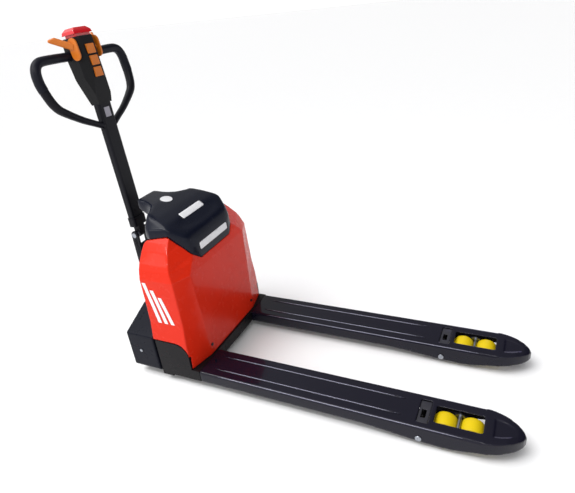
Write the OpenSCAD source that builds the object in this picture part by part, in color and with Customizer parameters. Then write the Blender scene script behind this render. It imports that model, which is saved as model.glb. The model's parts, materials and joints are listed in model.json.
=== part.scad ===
// Electric pallet truck: two forks on a lifting frame, and a low chassis with a steered drive wheel.
// Millimetres. +X points to the fork tips, +Z up, the floor is Z = 0, and X = 0 is halfway along.

/* [Forks] */
// Length of a fork, from the heel to the tip
fork_len = 1150; // [1050:10:1250]
// Width over both forks
fork_spread = 570; // [560:5:700]
// Width of one fork
fork_w = 150; // [148:1:165]
// Height of the fork's top face when lowered
fork_top = 85; // [84:1:90]
// Height of the fork's lower edge along its straight length
fork_under = 38; // [34:1:42]
// Sheet thickness of the forks
fork_wall = 5; // [4:0.5:6]
// Length of the tapered nose
nose_len = 120; // [100:5:150]
// Lift stroke of the fork frame
lift_stroke = 105; // [95:1:110]

/* [Load wheels] */
// Diameter of a load wheel
load_dia = 80; // [74:1:82]
// Width of a load wheel
load_w = 60; // [50:1:60]
// Distance between the two wheels of a tandem
load_pitch = 84; // [83:1:88]
// Distance from the fork tip to the middle of the tandem
tandem_back = 198; // [190:1:210]
// Height of the tandem's cross pin
tandem_pin_z = 64; // [62:0.5:66]
// Distance from the fork tip to the swing arm's pivot
arm_back = 312; // [305:1:320]
// Height of the swing arm's pivot
arm_z = 36; // [34:1:40]
// Length of the swing arm's horn, from the pivot to the push rod's pin
horn_len = 28; // [24:1:29]
// Diameter of the swing arm's pivot pin
arm_pin_d = 16; // [12:1:18]

/* [Chassis] */
// Distance from the fork heel back to the rearmost point of the tiller head
body_len = 500; // [450:5:560]
// Distance from the fork heel back to the steering axis
steer_back = 275; // [270:5:300]
// Height of the tail housing's side panels
tail_side_z = 205; // [190:5:220]
// Height of the tail housing's roof
tail_roof_z = 266; // [255:1:280]
// Length of the tail housing
tail_len = 133; // [120:1:150]
// Clearance under the chassis
chassis_under = 35; // [30:1:40]
// Half width of the bay that the drive wheel turns in
bay_half = 122; // [118:1:130]
// Diameter of the drive wheel
drive_dia = 210; // [200:1:212]
// Width of the drive wheel
drive_w = 70; // [60:1:75]
// Diameter of the drive wheel's axle
drive_axle_d = 30; // [24:1:36]
// Diameter of the lift cylinder's rod
rod_d = 32; // [28:1:36]
// Diameter of the lift cylinder's barrel
barrel_d = 56; // [50:1:60]

/* [Cover] */
// Height of the fork frame's side columns, under the cover
column_z = 197; // [190:1:205]
// Height of the cover's shoulder, where the red and the black covers meet
shoulder_z = 607; // [600:1:615]
// Height of the black cover's crown
crown_z = 690; // [685:5:710]
// Wall of the covers
cover_wall = 4; // [3:0.5:5]

/* [Tiller] */
// Distance from the fork heel back to the tiller's pivot
pivot_back = 395; // [390:1:410]
// Height of the tiller's pivot
pivot_z = 515; // [500:5:530]
// Lean of the tiller's tube at rest, in degrees
tube_lean = 2.5; // [1:0.5:4]
// Length of the tiller's tube, from the pivot
tube_len = 545; // [500:5:580]
// Width of the tiller's tube
tube_w = 66; // [56:1:70]
// Depth of the tiller's tube
tube_t = 32; // [28:1:36]
// Diameter of the tiller's pivot pin
tiller_pin_d = 16; // [12:1:18]
// Half width of the loop handle, to the tube's centre line
loop_half = 216; // [200:1:225]
// Diameter of the loop handle's tube
loop_d = 26; // [24:1:28]
// Diameter of the grips
grip_d = 33; // [31:1:34]

/* [Head] */
// Lean of the control head at rest, in degrees
head_lean = 6.5; // [5:0.5:8]
// Width of the control head
head_w = 100; // [94:1:110]
// Depth of the control head
head_t = 80; // [74:1:84]
// Length of the control head
head_len = 262; // [256:1:270]
// Travel of the reversing button
belly_travel = 8; // [5:0.5:8]
// Width of a push button
key_w = 36; // [30:1:38]
// Height of a push button
key_h = 33; // [28:1:34]
// Travel of a push button
key_travel = 2.5; // [1.5:0.5:3]

/* [Hidden] */
$fn = 48;

eps = 1;                // overshoot of cutting shapes
run = 0.05;             // running clearance of a shaft, on the radius
gap = 0.3;              // clearance between pieces that move past each other
half = fork_spread / 2;
fork_y = half - fork_w / 2;
x_tip = (fork_len + body_len) / 2;
x_heel = x_tip - fork_len;
x_arm = x_tip - arm_back;
x_tandem = x_tip - tandem_back;
x_steer = x_heel - steer_back;
x_pivot = x_heel - pivot_back;

// Fork frame behind the heel
column_front = x_heel - 35;
column_rear = x_heel - 184;
column_in = half - 50;
tail_front = column_rear - 12;
tail_rear = tail_front - tail_len;

// Load wheel linkage
load_r = load_dia / 2;
arm_reach = sqrt(pow(arm_back - tandem_back, 2) + pow(tandem_pin_z - arm_z, 2));
arm_low = asin((tandem_pin_z - arm_z) / arm_reach);
arm_high = asin((tandem_pin_z - lift_stroke - arm_z) / arm_reach);
arm_turn = arm_low - arm_high;
horn_x = -horn_len * sin(arm_turn / 2);
horn_z = horn_len * cos(arm_turn / 2);
rod_z = arm_z + (horn_z + horn_len) / 2;
rod_travel = 2 * horn_len * sin(arm_turn / 2);
lever_len = 120;
rocker_turn = 2 * asin(lift_stroke / 2 / lever_len);
rocker_horn = rod_travel / 2 / sin(rocker_turn / 2);
x_rocker = x_heel - 50;
rocker_d = 34;
rocker_z = rod_z + rocker_horn;
link_pin_d = 12;
rod_end_h = 24;
rod_plate_in = 8;
rod_plate_out = 15;
leg_in = load_w / 2 + 8;
leg_t = 7;

// Powered end
drive_r = drive_dia / 2;
deck_z = 226;
deck_t = 12;
ring_z = deck_z + deck_t;
ring_in = 80;
turn_top = tail_roof_z + 5;
wall_of_tail = 5;
bolt_x = tail_front - 76;
bolt_z = 127;
x_cylinder = x_heel - 115;
seat_z = chassis_under + 12;
beam_z = 250;
beam_t = 25;
motor_r = 62;
motor_top = turn_top + 165;
yoke_half = 40;
yoke_cheek = 10;
yoke_t = 34;

// Cover outline
nose_x = x_heel - 7.6;
cover_rear = x_heel - 195;
belt_z = 494;
arch_r = 55;

// Tiller head, measured along its own lean from the top of the tube
throttle_x = 18;
throttle_s = 222;
shaft_d = 12;
disc_half = 20;
disc_tall = 38;
disc_t = 6;
bar_s = 205;
bar_x = -24;

// ---- Helpers ----
module slab(a, b) { translate(a) cube(b - a); }
module cross_pin(d, y0, y1) { translate([0, y0, 0]) rotate([-90, 0, 0]) cylinder(d = d, h = y1 - y0); }
module both_sides() { children(); mirror([0, 1, 0]) children(); }
// Solid through outlines with the same number of points, each counter-clockwise from above
module loft(rings) {
    n = len(rings[0]);
    m = len(rings);
    polyhedron([for (r = rings) for (p = r) p], concat(
        [[for (i = [0 : n - 1]) i], [for (i = [n - 1 : -1 : 0]) (m - 1) * n + i]],
        [for (j = [0 : m - 2]) for (i = [0 : n - 1]) [j * n + i, (j + 1) * n + i, (j + 1) * n + (i + 1) % n]],
        [for (j = [0 : m - 2]) for (i = [0 : n - 1]) [j * n + i, (j + 1) * n + (i + 1) % n, j * n + (i + 1) % n]]));
}
module side_plate(y0, y1) { translate([0, y1, 0]) rotate([90, 0, 0]) linear_extrude(y1 - y0) children(); }

// Half width of the nose, as a share, at a share t of its length
function nose_share(t) = pow(1 - pow(min(t, 1), 1.7), 0.66);
function nose_plan(w, len, n = 14) = concat(
    [for (i = [0 : n]) [len * i / n, -w * nose_share(i / n)]],
    [for (i = [n - 1 : -1 : 0]) [len * i / n, w * nose_share(i / n)]]);

// ---- Forks ----
module fork_section(half_w, top, bottom, r) {
    polygon(concat([[-half_w, bottom]],
        [for (i = [0 : 6]) [-half_w + r * (1 - cos(i * 15)), top - r * (1 - sin(i * 15))]],
        [for (i = [6 : -1 : 0]) [half_w - r * (1 - cos(i * 15)), top - r * (1 - sin(i * 15))]],
        [[half_w, bottom]]));
}

module fork_side() {
    side_plate(-fork_w, fork_w) polygon(concat(
        [[x_heel, fork_under]],
        [for (i = [0 : 12]) [x_tip - 560 + 325 * i / 12, fork_under - 19 * (1 - cos(i * 15)) / 2]],
        [for (i = [1 : 8]) [x_tip - 235 + 160 * i / 8, fork_under - 19 + 21 * (1 - cos(i * 22.5)) / 2]],
        [[x_tip, fork_under + 6], [x_tip, fork_top - 13], [x_tip - 8, fork_top - 7],
         [x_tip - 25, fork_top - 3], [x_tip - 55, fork_top], [x_heel, fork_top]]));
}

module rib_groove(y) {
    for (e = [x_tip - 1099, x_tip - 376]) translate([e, y, fork_top - 1.5]) cylinder(d = 7, h = 1.5 + eps);
    slab([x_tip - 1099, y - 3.5, fork_top - 1.5], [x_tip - 376, y + 3.5, fork_top + eps]);
}

module fork(side) {
    x_nose = x_tip - nose_len;
    hw = fork_w / 2;
    color("#22222a") translate([0, side * fork_y, 0]) difference() {
        union() {
            intersection() {
                union() {
                    translate([x_heel, 0, 0]) rotate([90, 0, 90])
                        linear_extrude(fork_len - nose_len) fork_section(hw, fork_top, 0, 8);
                    translate([x_nose, 0, 0]) linear_extrude(fork_top) polygon(nose_plan(hw, nose_len));
                }
                fork_side();
            }
            both_sides() translate([x_arm, 0, arm_z]) cross_pin(34, leg_in + leg_t + 1, hw - fork_wall);
        }
        // Hollow under the top plate, open below
        difference() {
            slab([x_heel - eps, -hw + fork_wall, -eps], [x_tip - 90, hw - fork_wall, fork_top - fork_wall]);
            both_sides() translate([x_arm, 0, arm_z]) cross_pin(34, leg_in + leg_t + 1, hw);
        }
        slab([x_tip - 325, -50, 0], [x_tip - 289, 50, fork_top + eps]);
        slab([x_tip - 271, -36, 0], [x_tip - 124, 36, fork_top + eps]);
        translate([x_arm, 0, arm_z]) cross_pin(arm_pin_d, -hw - eps, hw + eps);
        rib_groove(-37);
        rib_groove(37);
        // Dished panel on the nose
        translate([x_tip - 93, 0, fork_top - 3]) linear_extrude(20)
            polygon(nose_plan(38, 74));
    }
}
module fork_right() { fork(-1); }
module fork_left() { fork(1); }

module arm_pins() {
    color("silver") for (side = [-1, 1]) translate([x_arm, side * fork_y, arm_z]) {
        cross_pin(arm_pin_d, -fork_w / 2, fork_w / 2);
        both_sides() cross_pin(20, fork_w / 2, fork_w / 2 + 2.5);
    }
}

// ---- Load wheels and their linkage ----
module arm_leg(y0, y1, reach) {
    side_plate(y0, y1) difference() {
        union() {
            translate([0, 0]) circle(d = 30);
            translate(reach) circle(d = 24);
            polygon([[0, -13], [reach[0], reach[1] - 11], [reach[0], reach[1] + 11], [0, 14]]);
        }
        circle(d = arm_pin_d + 2 * run);
        translate(reach) circle(d = link_pin_d + 2 * run);
    }
}

module swing_arm(side) {
    reach = [x_tandem - x_arm, tandem_pin_z - arm_z];
    color("#2b2b31") translate([x_arm, side * fork_y, arm_z]) {
        both_sides() arm_leg(leg_in, leg_in + leg_t, reach);
        difference() {
            cross_pin(26, -leg_in, leg_in);
            cross_pin(arm_pin_d + 2 * run, -leg_in - eps, leg_in + eps);
        }
        // Horn that the push rod works, with its pin
        difference() {
            side_plate(-6, 6) union() {
                polygon([[-12, 4], [horn_x - 7, horn_z], [horn_x + 7, horn_z], [12, 4]]);
                translate([horn_x, horn_z]) circle(d = 15);
            }
            cross_pin(arm_pin_d + 2 * run, -leg_in, leg_in);
        }
        translate([horn_x, 0, horn_z]) cross_pin(link_pin_d, -18, 18);
    }
}
module swing_arm_right() { swing_arm(-1); }
module swing_arm_left() { swing_arm(1); }

module tandem(side) {
    plate_in = load_w / 2 + 1;
    plate_out = leg_in - gap;
    dz = tandem_pin_z - load_r;
    color("#b9bcc0") translate([x_tandem, side * fork_y, load_r]) {
        both_sides() side_plate(plate_in, plate_out) union() {
            for (e = [-1, 1]) translate([e * load_pitch / 2, 0]) circle(d = 26);
            translate([0, dz]) circle(d = 24);
            polygon([[-load_pitch / 2, -13], [load_pitch / 2, -13], [load_pitch / 2 + 5, 12], [10, dz + 7],
                [-10, dz + 7], [-load_pitch / 2 - 5, 12]]);
        }
        translate([0, 0, dz]) cross_pin(link_pin_d, -leg_in - leg_t - 2, leg_in + leg_t + 2);
        for (e = [-1, 1]) translate([e * load_pitch / 2, 0, 0]) cross_pin(link_pin_d, -plate_in, plate_in);
    }
}
module tandem_right() { tandem(-1); }
module tandem_left() { tandem(1); }

module load_wheel_at(side, end) {
    translate([x_tandem + end * load_pitch / 2, side * fork_y, load_r]) rotate([90, 0, 0]) children();
}
module load_tyre(side, end) {
    w = load_w / 2;
    color("#f2df10") load_wheel_at(side, end) rotate_extrude($fn = 64)
        polygon([[24, -w + 1], [load_r - 5, -w + 1], [load_r - 1, -w + 5], [load_r, -6], [load_r, 6],
            [load_r - 1, w - 5], [load_r - 5, w - 1], [24, w - 1]]);
}
module load_hub(side, end) {
    w = load_w / 2;
    color("#c9ccd0") load_wheel_at(side, end) rotate_extrude($fn = 64)
        polygon([[link_pin_d / 2 + run, -w], [12, -w], [15, -w + 3], [24, -w + 3], [24, w - 3],
            [15, w - 3], [12, w], [link_pin_d / 2 + run, w]]);
}
module load_tyre_right_front() { load_tyre(-1, 1); }
module load_tyre_right_rear() { load_tyre(-1, -1); }
module load_tyre_left_front() { load_tyre(1, 1); }
module load_tyre_left_rear() { load_tyre(1, -1); }
module load_hub_right_front() { load_hub(-1, 1); }
module load_hub_right_rear() { load_hub(-1, -1); }
module load_hub_left_front() { load_hub(1, 1); }
module load_hub_left_rear() { load_hub(1, -1); }

// The rod's ends are slotted plates, so that the pins can rise and fall in their arcs
module rod_end(x, z_lo, z_hi) {
    slot_r = link_pin_d / 2 + 1;
    both_sides() side_plate(rod_plate_in, rod_plate_out) difference() {
        translate([x, rod_z]) square([30, rod_end_h], center = true);
        for (z = [z_lo, z_hi]) translate([x, z]) circle(r = slot_r);
        translate([x - slot_r, z_lo]) square([2 * slot_r, z_hi - z_lo]);
    }
}
module push_rod(side) {
    lo = arm_z + horn_z;
    hi = arm_z + horn_len;
    rear_lo = rocker_z - rocker_horn;
    rear_hi = rocker_z - rocker_horn * cos(rocker_turn / 2);
    x_front = x_arm + horn_x;
    x_rear = x_rocker - rod_travel / 2;
    color("#33333a") translate([0, side * fork_y, 0]) {
        rod_end(x_front, lo, hi);
        rod_end(x_rear, rear_lo, rear_hi);
        slab([x_rear + 15, -15, rod_z - 9], [x_rear + 35, 15, rod_z + 9]);
        slab([x_front - 35, -15, rod_z - 9], [x_front - 15, 15, rod_z + 9]);
        translate([x_rear + 35, 0, rod_z]) rotate([0, 90, 0]) cylinder(d = 18, h = x_front - x_rear - 70);
    }
}
module push_rod_right() { push_rod(-1); }
module push_rod_left() { push_rod(1); }

module rocker_shaft() {
    low_x = -rocker_horn * sin(rocker_turn / 2);
    low_z = -rocker_horn * cos(rocker_turn / 2);
    slot_in = lever_len * cos(rocker_turn / 2);
    color("#2b2b31") translate([x_rocker, 0, rocker_z]) {
        cross_pin(rocker_d, -column_in, column_in);
        both_sides() {
            translate([0, fork_y, 0]) side_plate(-6, 6) union() {
                translate([low_x, low_z]) circle(d = 14);
                polygon([[-12, 0], [low_x - 7, low_z], [low_x + 7, low_z], [12, 0]]);
            }
            translate([low_x, fork_y, low_z]) cross_pin(link_pin_d, -17, 17);
            // Long lever, slotted for the chassis pin that stays put as the lever's end swings
            side_plate(145, 155) rotate(180 - rocker_turn / 2) difference() {
                union() {
                    translate([0, -14]) square([slot_in, 28]);
                    for (r = [slot_in, lever_len]) translate([r, 0]) circle(d = 32);
                    translate([slot_in, -16]) square([lever_len - slot_in, 32]);
                }
                for (r = [slot_in, lever_len]) translate([r, 0]) circle(d = link_pin_d + 5);
                translate([slot_in, -link_pin_d / 2 - 2.5]) square([lever_len - slot_in, link_pin_d + 5]);
            }
        }
    }
}

// ---- Fork frame ----
module fork_bridge() {
    wall = 8;
    wall_x = x_heel - 30;
    wall_step = x_heel - 30 - (x_rocker + rocker_d / 2) - 0.5;
    color("#232329") {
        difference() {
            union() {
                // Cross bar at the heels, and the front wall behind the cover
                slab([x_heel - 24, -half, fork_under], [x_heel, half, fork_top]);
                slab([wall_x, -200, fork_under], [x_heel - 24, 200, column_z]);
                both_sides() slab([wall_x - wall_step, 194, fork_under], [wall_x, column_in, column_z]);
                slab([wall_x, -200, column_z], [x_heel - 24, 200, 470]);
            }
            for (s = [-1, 1]) slab([wall_x - 6 - eps, s * fork_y - 24, rod_z - 20], [x_heel + eps, s * fork_y + 24, rod_z + 16]);
        }
        both_sides() {
            // Side column: an outer panel with a front, a rear and a top flange
            intersection() {
                difference() {
                    slab([column_rear, column_in, fork_under - 8], [x_heel - 24, half, column_z]);
                    slab([column_rear + wall, column_in - eps, 0], [column_front - wall, half - wall, column_z - wall]);
                    slab([column_front, 0, fork_top], [x_heel, half + eps, column_z + eps]);
                    slab([column_front - wall - eps, 0, 0], [x_heel, half - wall, fork_top - wall]);
                    slab([column_rear + 50, 0, 0], [x_heel, half + eps, fork_under]);
                }
                side_plate(0, half) union() {
                    column_outline(0, column_rear);
                    translate([column_front - eps, 0]) square([100, fork_top]);
                }
            }
            // Upright that carries the rocker and the lift beam
            difference() {
                slab([column_rear, column_in - wall, fork_under], [wall_x - wall_step, column_in, beam_z + beam_t]);
                translate([x_rocker, 0, rocker_z]) cross_pin(rocker_d + 2 * run, 0, half);
                slab([column_rear - eps, column_in - 20, 0], [column_front - 60, column_in + eps, fork_under + 14]);
            }
        }
    }
}

module lift_beam() {
    color("#2b2b31") {
        slab([x_cylinder - 30, -column_in + 8, beam_z], [x_cylinder + 30, column_in - 8, beam_z + beam_t]);
        // Battery tray
        slab([cover_rear + 14, -200, beam_z + beam_t], [x_heel - 30, 200, beam_z + beam_t + 5]);
    }
}

module cylinder_rod() {
    color("silver") translate([x_cylinder, 0, seat_z + 20]) cylinder(d = rod_d, h = beam_z - seat_z - 20);
}

module battery_pack() {
    z0 = beam_z + beam_t + 5;
    color("#3a3d42") {
        slab([cover_rear + 25, -165, z0], [x_heel - 54, 65, z0 + 260]);
        slab([x_heel - 120, -140, z0 + 260], [x_heel - 60, 20, z0 + 265]);
    }
}

module controller() {
    z0 = beam_z + beam_t + 5;
    color("#6d7278") {
        slab([x_heel - 150, 75, z0], [x_heel - 45, 190, z0 + 30]);
        for (i = [0 : 7]) slab([x_heel - 145 + i * 13, 80, z0 + 30], [x_heel - 140 + i * 13, 185, z0 + 60]);
    }
}

// ---- Covers ----
// Outlines of the lower cover: height, front face behind the heel, its half width, side edge behind the heel, its half width
cover_rings = [
    [fork_top, 7, half - 110, 34, half], [200, 9, half - 104, 36, half - 2], [275, 10, half - 100, 38, half - 12],
    [340, 11, half - 95, 40, half - 14], [belt_z - 29, 13, half - 89, 44, half - 16],
    [belt_z + 6, 20, half - 120, 56, half - 25], [belt_z + 30, 29, half - 145, 63, half - 37],
    [shoulder_z - 47, 45, half - 165, 76, half - 64], [shoulder_z - 22, 62, half - 180, 84, half - 87],
    [shoulder_z, 78, half - 190, 90, half - 113]];
function cover_at(z) = [for (k = [1 : 4]) lookup(z, [for (r = cover_rings) [r[0], r[k]]])];
// One outline at a height, moved in by the wall
function cover_ring(z, in, rise = 0) = let (r = cover_at(z), x = x_heel - r[0] - in, w = r[1] - in / 2,
    x_side = x_heel - r[2] - in, y = r[3] - in, back = cover_rear - (in > 0 ? eps : 0))
    [for (p = [[back, -y], [x_side, -y], [x, -w], [x, w], [x_side, y], [back, y]]) [p[0], p[1], z + rise]];
module cover_body(first, last, in) {
    over = in > 0 ? eps : 0;
    loft([for (i = [first : last]) cover_ring(cover_rings[i][0], in, i == first ? -over : i == last ? over : 0)]);
}
// The seam between the covers: across the front as half width and height, then along the sides as distance behind the heel and height
seam_front = [[half - 181, belt_z], [half - 145, belt_z + 30], [half - 105, shoulder_z]];
seam_back = 96;
seam_side = concat([[88, shoulder_z]], [for (i = [0 : 6]) [178 + 17 * sin(i * 15), shoulder_z - 15 - 22 * (1 - cos(i * 15))]]);
module lower_cover() {
    top = shoulder_z + 100;
    color("#e8381a") difference() {
        cover_body(0, 9, 0);
        cover_body(0, 9, cover_wall);
        // Front opening for the black cover
        translate([x_heel - seam_back, 0, 0]) rotate([90, 0, 90]) linear_extrude(seam_back + 10) polygon(concat(seam_front,
            [[half - 105, top], [105 - half, top]], [for (i = [2 : -1 : 0]) [-seam_front[i][0], seam_front[i][1]]]));
        // Sides' upper edges
        side_plate(-half - 5, half + 5) polygon(concat([for (p = seam_side) [x_heel - p[0], p[1]]],
            [[cover_rear - 20, shoulder_z - 37], [cover_rear - 20, top], [x_heel - 88, top]]));
        both_sides() side_plate(column_in - 60, half + eps) column_outline(gap, cover_rear - eps);
    }
}
// Side view of the frame's column, grown by a clearance: it fills the arch in the cover
module column_outline(grow, rear) {
    polygon(concat([[rear, 0], [rear, column_z + grow]],
        [for (i = [0 : 6]) [column_front - arch_r + (arch_r + grow) * sin(i * 15),
            column_z - arch_r + (arch_r + grow) * cos(i * 15)]],
        [[column_front + grow, 0]]));
}

// Side view of the black cover's top, from front to back: distance behind the heel, and height
crown_line = [[20, belt_z + 62], [40, 600], [104, 645], [150, 662], [222, 680], [320, crown_z]];
crown_under = shoulder_z - 19;
module top_cover() {
    crown_half = half - 96;
    color("#1a1c28") difference() {
        intersection() {
            side_plate(-half, half) polygon(concat([[x_heel - 18.5, belt_z + gap]],
                [for (p = crown_line) [x_heel - p[0], p[1]]],
                [[x_heel - 320, 644], [x_heel - 236, 606], [x_heel - 205, crown_under], [x_heel - 100, crown_under],
                 [x_heel - 96, 548], [x_heel - 53, 547], [x_heel - 48, belt_z + gap]]));
            linear_extrude(900) polygon([[x_heel - 18, 181 - half], [x_heel - 18, half - 181], [x_heel - 29, half - 145],
                [x_heel - 88, half - 105], [x_heel - 170, crown_half], [x_heel - 198, half - 108], [x_heel - 210, 120],
                [x_heel - 232, 82], [x_heel - 268, 64], [x_heel - 320, 58],
                [x_heel - 320, -58], [x_heel - 268, -64], [x_heel - 232, -82], [x_heel - 210, -120],
                [x_heel - 198, 108 - half], [x_heel - 170, -crown_half], [x_heel - 88, 105 - half], [x_heel - 29, 145 - half]]);
            translate([x_heel - 400, 0, 0]) rotate([90, 0, 90]) linear_extrude(500)
                polygon([[-half, 400], [half, 400], [half, 612], [half - 106, 636], [half - 122, 654], [115, crown_z + 10],
                    [-115, crown_z + 10], [122 - half, 654], [106 - half, 636], [-half, 612]]);
        }
        both_sides() {
            translate([x_heel - seam_back, 0, 0]) rotate([90, 0, 90]) linear_extrude(seam_back + 10) polygon(concat(
                [for (p = seam_front) [p[0] - gap, p[1]]], [[half, shoulder_z + gap], [half, 400], [half - 181 - gap, 400]]));
            side_plate(half - 125, half + eps) polygon(concat([for (p = seam_side) [x_heel - p[0], p[1] + gap]],
                [[cover_rear - 20, shoulder_z - 37 + gap], [cover_rear - 20, 400], [x_heel - 88, 400]]));
        }
        // Soft dish on the front slope
        on_crown(1) translate([-44, 0, -3]) linear_extrude(20)
            polygon([for (i = [0 : 47]) [34 * cos(i * 7.5), 120 * sin(i * 7.5)]]);
    }
}
// Places its children on the top of the black cover behind one point of its line, x running forward
module on_crown(i) {
    a = crown_line[i];
    b = crown_line[i + 1];
    translate([x_heel - a[0], 0, a[1]]) rotate([0, atan2(b[1] - a[1], b[0] - a[0]), 0]) children();
}

// Sheet that closes the battery bay at the back
module rear_panel() {
    inset = 1.6 * cover_wall + gap;
    heights = [beam_z + beam_t + 5, 340, belt_z - 29, belt_z + 6, belt_z + 30, shoulder_z - 47, crown_under - 1];
    edge = [for (z = heights) [cover_at(z)[3] - inset, z]];
    color("#232329") translate([cover_rear + 14, 0, 0]) rotate([90, 0, 90]) linear_extrude(4)
        polygon(concat(edge, [for (i = [len(edge) - 1 : -1 : 0]) [-edge[i][0], edge[i][1]]]));
}
module cover_screws() {
    color("#15151a") for (y = [-165, 165]) translate([nose_x, y, 128]) rotate([0, 90, 0]) cylinder(d = 13, h = 3);
}
module blank_badges() {
    color("#e9e9ee") {
        on_crown(2) slab([-40, -78, 0], [-12, 78, 1.5]);
        on_crown(0) slab([-38, -75, 0], [-8, 75, 1.5]);
    }
}
module crown_disc() {
    color("#f4f4f6") on_crown(4) translate([-36, 0, 0]) cylinder(d = 50, h = 1);
}
module side_stripes() {
    color("#f4f4f6") intersection() {
        difference() {
            cover_body(2, 4, -1.2);
            cover_body(2, 4, 0);
        }
        union() for (i = [0 : 2]) side_plate(-half - 5, half + 5) translate([x_heel - 150 + i * 30, 282])
            polygon([[0, 0], [16, 0], [-20, 170 - i * 28], [-36, 170 - i * 28]]);
    }
}

// ---- Chassis ----
module tail_outline(in) {
    polygon([[bay_half + in, chassis_under], [half - 12 - in, chassis_under], [half - in, chassis_under + 12],
        [half - in, tail_side_z - in / 2], [150, tail_roof_z - in], [bay_half + in, tail_roof_z - in]]);
}
module tail_housing() {
    wall = wall_of_tail;
    color("#20222c") both_sides() difference() {
        translate([tail_rear, 0, 0]) rotate([90, 0, 90]) linear_extrude(tail_len) tail_outline(0);
        translate([tail_rear + wall, 0, 0]) rotate([90, 0, 90]) linear_extrude(tail_len - 2 * wall) tail_outline(wall);
        translate([bolt_x, 0, bolt_z]) cross_pin(8, half - 20, half + eps);
    }
}
module tail_bolts() {
    color("silver") both_sides() translate([bolt_x, 0, bolt_z]) {
        cross_pin(8, half - wall_of_tail, half);
        cross_pin(13, half, half + 2.5);
    }
}
module chassis_deck() {
    anchor_x = x_rocker - lever_len * cos(rocker_turn / 2);
    anchor_z = rocker_z + lift_stroke / 2;
    color("#2b2b31") {
        difference() {
            union() {
                slab([tail_rear + 10, -bay_half, deck_z], [tail_front + 8, bay_half, deck_z + deck_t]);
                translate([x_steer, 0, deck_z]) cylinder(r = 110, h = deck_t);
            }
            translate([x_steer, 0, 0]) cylinder(r = ring_in, h = 400);
        }
        // Front posts and the seat of the lift cylinder
        both_sides() {
            slab([tail_front, 114, chassis_under], [tail_front + 8, 176, deck_z + deck_t]);
            slab([tail_front + 8, 120, chassis_under], [x_cylinder + 34, 140, seat_z]);
            for (y = [130, 160]) slab([tail_front + 8, y, anchor_z - 16], [anchor_x + 14, y + 9, anchor_z + 16]);
            translate([anchor_x, 0, anchor_z]) cross_pin(link_pin_d, 139, 160);
        }
        slab([x_cylinder - 34, -120, chassis_under], [x_cylinder + 34, 120, seat_z]);
    }
}

module slew_ring() {
    color("#8a8d92") translate([x_steer, 0, ring_z]) difference() {
        cylinder(r = 102, h = 14);
        translate([0, 0, -eps]) cylinder(r = ring_in, h = 20);
        for (a = [0 : 30 : 330]) rotate(a) translate([92, 0, 6]) cylinder(d = 10, h = 10);
    }
}

module cylinder_barrel() {
    color("#4a4d52") translate([x_cylinder, 0, seat_z]) difference() {
        cylinder(d = barrel_d, h = 175);
        translate([0, 0, 20]) cylinder(d = rod_d + 2 * run, h = 200);
    }
}

module pump_unit() {
    color("#5a5e64") {
        translate([tail_front + 33, 200, 80]) cylinder(d = 48, h = 130);
        slab([tail_front, 177, seat_z], [tail_front + 57, 224, 80]);
    }
}

// ---- Steered drive unit ----
module drive_housing() {
    color("#34363c") translate([x_steer, 0, 0]) {
        translate([0, 0, drive_dia + 4]) cylinder(r = ring_in - gap, h = turn_top - drive_dia - 4);
        slab([-42, drive_w / 2 + 4, drive_r], [42, 70, drive_dia + 6]);
        translate([0, 0, drive_r]) {
            cross_pin(116, drive_w / 2 + 4, 78);
            cross_pin(drive_axle_d, -drive_w / 2 + 8, drive_w / 2 + 4);
        }
    }
}
module drive_tyre() {
    w = drive_w / 2;
    color("#2a2a2e") translate([x_steer, 0, drive_r]) rotate([90, 0, 0]) rotate_extrude($fn = 96)
        polygon([[76, -w], [drive_r - 5, -w], [drive_r, -w + 6], [drive_r, w - 6], [drive_r - 5, w], [76, w]]);
}
module drive_hub() {
    w = drive_w / 2;
    color("#9fa2a7") translate([x_steer, 0, drive_r]) rotate([90, 0, 0]) difference() {
        rotate_extrude($fn = 96) polygon([[drive_axle_d / 2 + run, -w + 2], [34, -w + 2], [40, -w + 12], [66, -w + 12],
            [68, -w], [76, -w], [76, w], [68, w], [66, w - 12], [40, w - 12], [34, w], [drive_axle_d / 2 + run, w]]);
        for (a = [0 : 60 : 300]) rotate(a) translate([53, 0, -w]) cylinder(d = 14, h = drive_w);
    }
}
module drive_motor() {
    color("#3c3f45") translate([x_steer, 0, 0]) {
        translate([0, 0, turn_top]) cylinder(r = motor_r, h = motor_top - turn_top);
        for (a = [0 : 30 : 330]) rotate(a) slab([motor_r - 2, -2, turn_top + 20], [motor_r + 5, 2, motor_top - 15]);
    }
}
module motor_brake() {
    color("#1d1d20") translate([x_steer, 0, motor_top]) {
        cylinder(r = 50, h = 26);
        cylinder(r = 30, h = 36);
    }
}
module tiller_yoke() {
    color("#26262c") translate([x_pivot, 0, 0]) {
        difference() {
            union() {
                both_sides() side_plate(yoke_half - yoke_cheek, yoke_half) union() {
                    translate([0, pivot_z]) circle(d = yoke_t);
                    translate([-yoke_t / 2, turn_top]) square([yoke_t, pivot_z - turn_top]);
                }
                slab([yoke_t / 2 - 7, -yoke_half + yoke_cheek, turn_top], [yoke_t / 2, yoke_half - yoke_cheek, pivot_z - 40]);
                slab([-yoke_t / 2, -yoke_half, turn_top], [x_steer - x_pivot - motor_r - 6, yoke_half, turn_top + 14]);
                both_sides() side_plate(yoke_half - yoke_cheek, yoke_half)
                    polygon([[yoke_t / 2 - eps, turn_top + 13], [48, turn_top + 13], [yoke_t / 2 - eps, turn_top + 90]]);
            }
            translate([0, 0, pivot_z]) cross_pin(tiller_pin_d, -60, 60);
        }
    }
}
module tiller_pin() {
    color("silver") translate([x_pivot, 0, pivot_z]) {
        cross_pin(tiller_pin_d, -yoke_half, yoke_half);
        both_sides() cross_pin(22, yoke_half, yoke_half + 3);
    }
}
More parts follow.
